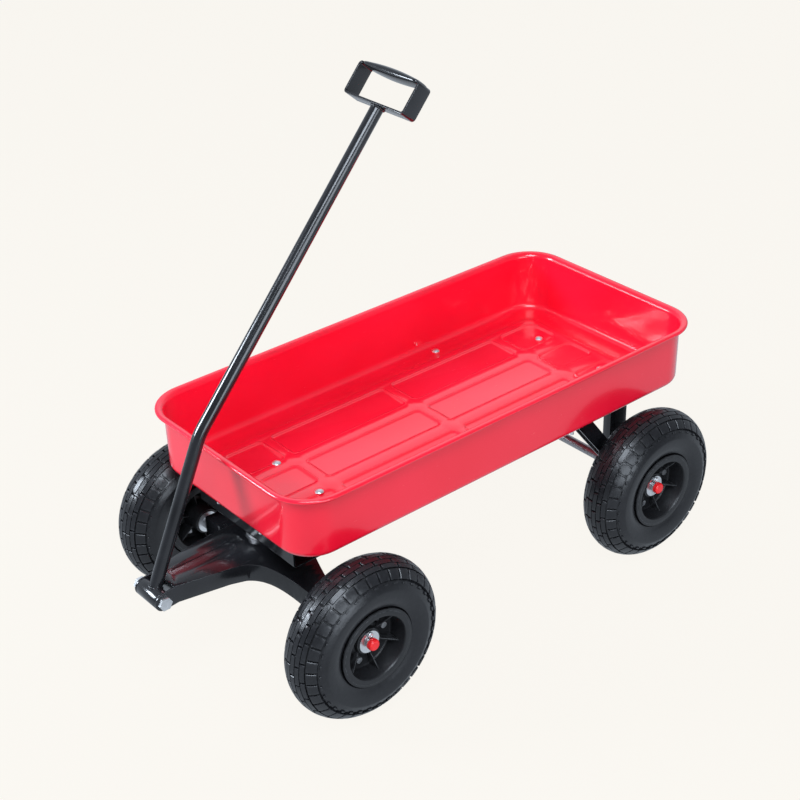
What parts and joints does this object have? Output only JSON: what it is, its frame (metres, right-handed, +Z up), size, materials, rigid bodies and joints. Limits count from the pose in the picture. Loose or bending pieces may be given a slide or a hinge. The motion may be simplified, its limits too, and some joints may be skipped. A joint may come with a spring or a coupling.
{
  "type": "pull wagon",
  "caption": "Child's pull wagon: a red pressed steel tray on a steering front axle and fixed rear axle, with pneumatic wheels and a bent tubular pull handle.",
  "frame": {"origin": "on the ground, below the middle of the whole wagon with its handle upright against its stop", "axes": "+X forward towards the handle's hitch, +Y to the wagon's left, +Z up"},
  "size_m": [0.9745, 0.527, 0.8686],
  "materials": {
    "tray_red": "gloss",
    "frame_black": "gloss",
    "bare_steel": "satin",
    "zinc_steel": "satin",
    "bearing_steel": "satin",
    "rim_black": "satin",
    "cap_red": "gloss",
    "bush_nylon": "satin",
    "grip_black": "satin",
    "tyre_rubber": "matte",
    "tube_rubber": "matte"
  },
  "bodies": {
    "wagon": {"tray": "tray_red", "tray_front_bolts": "zinc_steel", "tray_rear_bolts": "zinc_steel", "tray_brace_bolts": "zinc_steel", "tray_washers": "zinc_steel", "tray_nuts": "zinc_steel", "front_bolster": "frame_black", "bolster_wear_plate": "bare_steel", "kingpin_bolt": "zinc_steel", "kingpin_nut": "zinc_steel", "rear_bracket": "frame_black", "rear_brace_left": "frame_black", "rear_brace_right": "frame_black", "rear_axle": "bare_steel", "rear_axle_spacers": "bare_steel", "rear_axle_washers": "zinc_steel", "rear_cotter_pins": "zinc_steel", "rear_axle_caps": "cap_red"},
    "steering": {"steering_yoke": "frame_black", "steering_thrust_plate": "bare_steel", "front_axle": "bare_steel", "front_axle_spacers": "bare_steel", "front_axle_washers": "zinc_steel", "front_cotter_pins": "zinc_steel", "front_axle_caps": "cap_red", "pivot_bolt": "zinc_steel", "pivot_nut": "zinc_steel"},
    "handle": {"handle_tube": "frame_black", "hitch_barrel": "frame_black", "hitch_bushes": "bush_nylon", "grip_loop": "frame_black", "grip_sleeve": "grip_black"},
    "wheel_front_left": {"tyre_front_left": "tyre_rubber", "inner_tube_front_left": "tube_rubber", "rim_outer_front_left": "rim_black", "rim_inner_front_left": "rim_black", "rim_bolts_front_left": "zinc_steel", "wheel_bearings_front_left": "bearing_steel", "valve_stem_front_left": "tube_rubber"},
    "wheel_front_right": {"tyre_front_right": "tyre_rubber", "inner_tube_front_right": "tube_rubber", "rim_outer_front_right": "rim_black", "rim_inner_front_right": "rim_black", "rim_bolts_front_right": "zinc_steel", "wheel_bearings_front_right": "bearing_steel", "valve_stem_front_right": "tube_rubber"},
    "wheel_rear_left": {"tyre_rear_left": "tyre_rubber", "inner_tube_rear_left": "tube_rubber", "rim_outer_rear_left": "rim_black", "rim_inner_rear_left": "rim_black", "rim_bolts_rear_left": "zinc_steel", "wheel_bearings_rear_left": "bearing_steel", "valve_stem_rear_left": "tube_rubber"},
    "wheel_rear_right": {"tyre_rear_right": "tyre_rubber", "inner_tube_rear_right": "tube_rubber", "rim_outer_rear_right": "rim_black", "rim_inner_rear_right": "rim_black", "rim_bolts_rear_right": "zinc_steel", "wheel_bearings_rear_right": "bearing_steel", "valve_stem_rear_right": "tube_rubber"}
  },
  "joints": [
    {"name": "steering", "type": "hinge", "parent": "wagon", "child": "steering", "pos_m": [0.26525, 0, 0.2], "axis": [0, 0, 1], "range_deg": [-30, 30]},
    {"name": "handle_pivot", "type": "hinge", "parent": "steering", "child": "handle", "pos_m": [0.47325, 0, 0.187], "axis": [0, 1, 0], "range_deg": [0, 133]},
    {"name": "wheel_spin_front_left", "type": "hinge", "parent": "steering", "child": "wheel_front_left", "pos_m": [0.26525, 0.222, 0.13], "axis": [0, 1, 0], "continuous": true},
    {"name": "wheel_spin_front_right", "type": "hinge", "parent": "steering", "child": "wheel_front_right", "pos_m": [0.26525, -0.222, 0.13], "axis": [0, 1, 0], "continuous": true},
    {"name": "wheel_spin_rear_left", "type": "hinge", "parent": "wagon", "child": "wheel_rear_left", "pos_m": [-0.34275, 0.222, 0.13], "axis": [0, 1, 0], "continuous": true},
    {"name": "wheel_spin_rear_right", "type": "hinge", "parent": "wagon", "child": "wheel_rear_right", "pos_m": [-0.34275, -0.222, 0.13], "axis": [0, 1, 0], "continuous": true}
  ]
}
